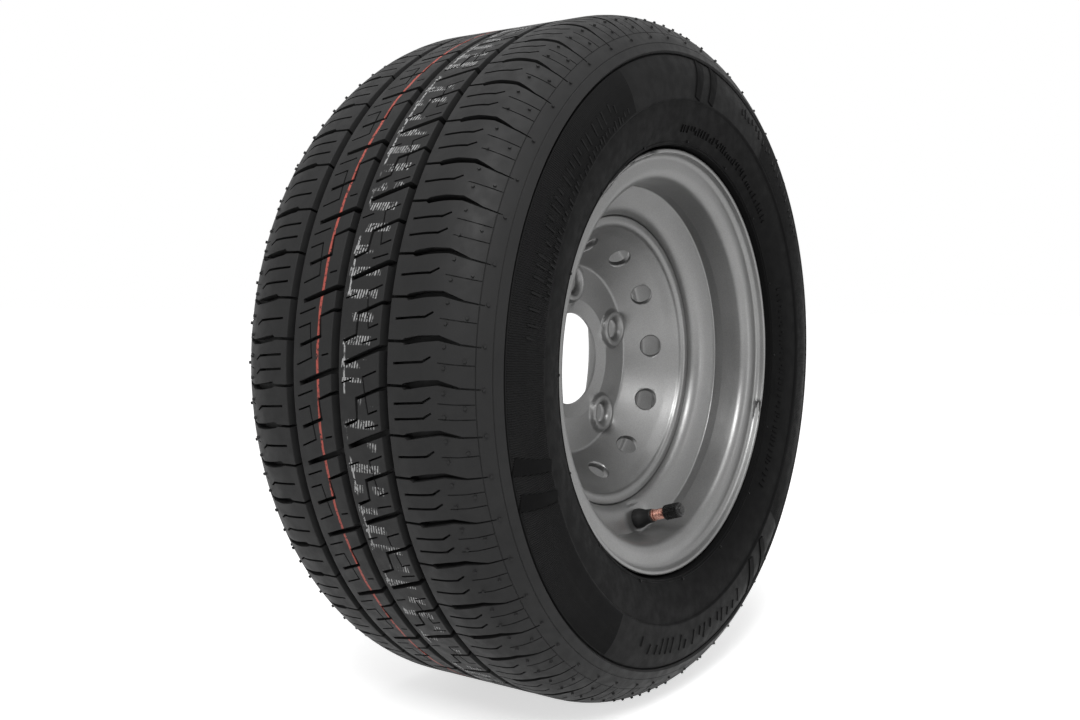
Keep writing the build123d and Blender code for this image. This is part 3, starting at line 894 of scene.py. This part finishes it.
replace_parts(stem_piece, "valve_stem")

# Valve core, pin, seal and spring
# A brass barrel screwed into the stem, a pin through it with a rubber seal on its cup, and the coil
# spring that shuts it.
for node, material in (
    ("valve_core", brass), ("core_pin", brass), ("pin_seal", valve_rubber), ("cap_gasket", valve_rubber),
):
    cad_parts[node].data.materials.clear()
    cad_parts[node].data.materials.append(material)

spring_foot, spring_height, spring_radius, spring_wire = 25.86, 8.64, 1.0, 0.3
spring_turns, spring_steps = 4, 96
coil = bmesh.new()
wire_place = Matrix.Translation((spring_radius * mm, 0, spring_foot * mm)) @ Matrix.Rotation(pi / 2, 4, "X")
wire = bmesh.ops.create_circle(coil, segments=10, radius=spring_wire / 2 * mm, matrix=wire_place)["verts"]
bmesh.ops.spin(
    coil, geom=wire + coil.edges[:], axis=(0, 0, 1), dvec=(0, 0, spring_height / spring_steps * mm),
    angle=2 * pi * spring_turns, steps=spring_steps,
)
bmesh.ops.holes_fill(coil, edges=coil.edges)
coil_piece = new_piece("core_spring_coil", coil, spring_steel, None, crease=50, place=valve_frame)
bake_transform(coil_piece)
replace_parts(coil_piece, "core_spring")

# Valve cap
# Moulded black plastic with lengthwise ribs to grip and a small domed tip.
# It is screwed on the stem, down on its rubber gasket.
cap_foot, cap_radius, cap_bore, cap_ribs, cap_rib_depth = 25.65, 5.4, 3.95, 26, 0.32
cap_bends = [
    (cap_foot, cap_bore, 0),
    (cap_foot, cap_radius - 0.1, 0.4),
    (26.4, cap_radius, 0.3),
    (36.9, cap_radius, 0.8),
    (38.55, 4.6, 0.8),
    (38.55, 3.6, 0.3),
    (39.75, 3.3, 0.7),
    (39.75, 0, 0),
    (37.25, 0, 0),
    (37.25, cap_bore, 0),
]
cap = bmesh.new()
turned(cap, rounded_run(cap_bends, 2, closed=True), cap_ribs * 4)
for vert in cap.verts:
    around = vert.co.xy.length / mm
    if around > 4.7 and cap_foot + 0.5 < vert.co.z / mm < 38.2:
        column = round(atan2(vert.co.y, vert.co.x) / (2 * pi) * cap_ribs * 4) % 4
        vert.co.xy *= (around - (cap_rib_depth if column in (0, 1) else 0)) / around
cap_piece = new_piece(
    "valve_cap_ribbed", cap, cap_plastic, "valve_cap", crease=40, place=valve_frame,
)
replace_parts(cap_piece, "valve_cap")

# Camera, floor and light
# The wheel stands on a pale floor before a white ground, in soft light from all round, with a bright
# panel above and left of the camera, a weak one before the open face and a large one overhead.
eye = Vector((-635.956, -433.961, 41.118)) * mm
view_right = Vector((0.52058312, -0.85377746, 0.00756723))
view_ahead = Vector((0.85238061, 0.51917776, -0.06246401))
camera_data = bpy.data.cameras.new("camera")
camera_data.sensor_width = 36
camera_data.lens = 35.008
camera_data.shift_x = -0.0852
camera_data.shift_y = 0.0081
camera = bpy.data.objects.new("camera", camera_data)
turn = Matrix((view_right, view_right.cross(view_ahead), -view_ahead)).transposed()
camera.matrix_world = Matrix.Translation(eye) @ turn.to_4x4()
bpy.context.scene.collection.objects.link(camera)
bpy.context.scene.camera = camera


def seen_ray(tree):
    """1 on camera, mirror and glass rays."""
    rays = add_node(tree, "ShaderNodeLightPath").outputs
    either = add_math(tree, "MAXIMUM", rays["Is Camera Ray"], rays["Is Glossy Ray"])
    return add_math(tree, "MAXIMUM", either, rays["Is Transmission Ray"])


def floor_material():
    """Pale matt floor."""
    material, tree, shader, place = new_material("pale_floor")
    speck = add_noise(tree, place, 40.0)
    pale = add_mix(tree, speck, (0.86, 0.86, 0.86, 1), (0.9, 0.9, 0.9, 1))
    tree.links.new(pale, shader.inputs["Base Color"])
    shader.inputs["Roughness"].default_value = 0.9
    shader.inputs["Specular IOR Level"].default_value = 0.0
    shader.inputs["Emission Color"].default_value = (1, 1, 1, 1)
    far = add_node(tree, "ShaderNodeVectorMath", {0: place}, operation="LENGTH").outputs["Value"]
    glow = add_range(tree, far, 0.4, 2.5, 0.64, 0.9)
    tree.links.new(add_math(tree, "MULTIPLY", seen_ray(tree), glow), shader.inputs["Emission Strength"])
    return material


floor_mesh = bmesh.new()
bmesh.ops.create_circle(floor_mesh, cap_ends=True, segments=96, radius=30)
bmesh.ops.translate(floor_mesh, verts=floor_mesh.verts, vec=(0, 0, -tread_radius * mm))
floor_data = bpy.data.meshes.new("floor")
floor_mesh.to_mesh(floor_data)
floor_mesh.free()
floor_data.materials.append(floor_material())
floor = bpy.data.objects.new("floor", floor_data)
bpy.context.scene.collection.objects.link(floor)

world = bpy.data.worlds.new("white_ground")
world.use_nodes = True
sky = world.node_tree
background = sky.nodes["Background"]
background.inputs["Color"].default_value = (1, 1, 1, 1)
sky.links.new(add_range(sky, seen_ray(sky), 0.0, 1.0, 0.30, 1.0), background.inputs["Strength"])
bpy.context.scene.world = world


def soft_panel(name, place, aim, size, watts):
    """Light panel that faces a point."""
    data = bpy.data.lights.new(name, "AREA")
    data.shape = "RECTANGLE"
    data.size, data.size_y = size
    data.energy = watts
    panel = bpy.data.objects.new(name, data)
    way = Vector(aim) - Vector(place)
    panel.matrix_world = Matrix.Translation(place) @ way.to_track_quat("-Z", "Y").to_matrix().to_4x4()
    bpy.context.scene.collection.objects.link(panel)


soft_panel("panel_camera", (-1.02, -0.60, 0.92), (0, 0, 0), (0.45, 0.6), 17)
soft_panel("panel_front", (0.31, -1.46, 0.10), (0, 0, 0), (0.3, 0.8), 2.4)
soft_panel("panel_top", (-0.3, -0.2, 1.7), (0, 0, 0), (1.2, 1.2), 12)
bpy.context.scene.view_settings.view_transform = "Standard"
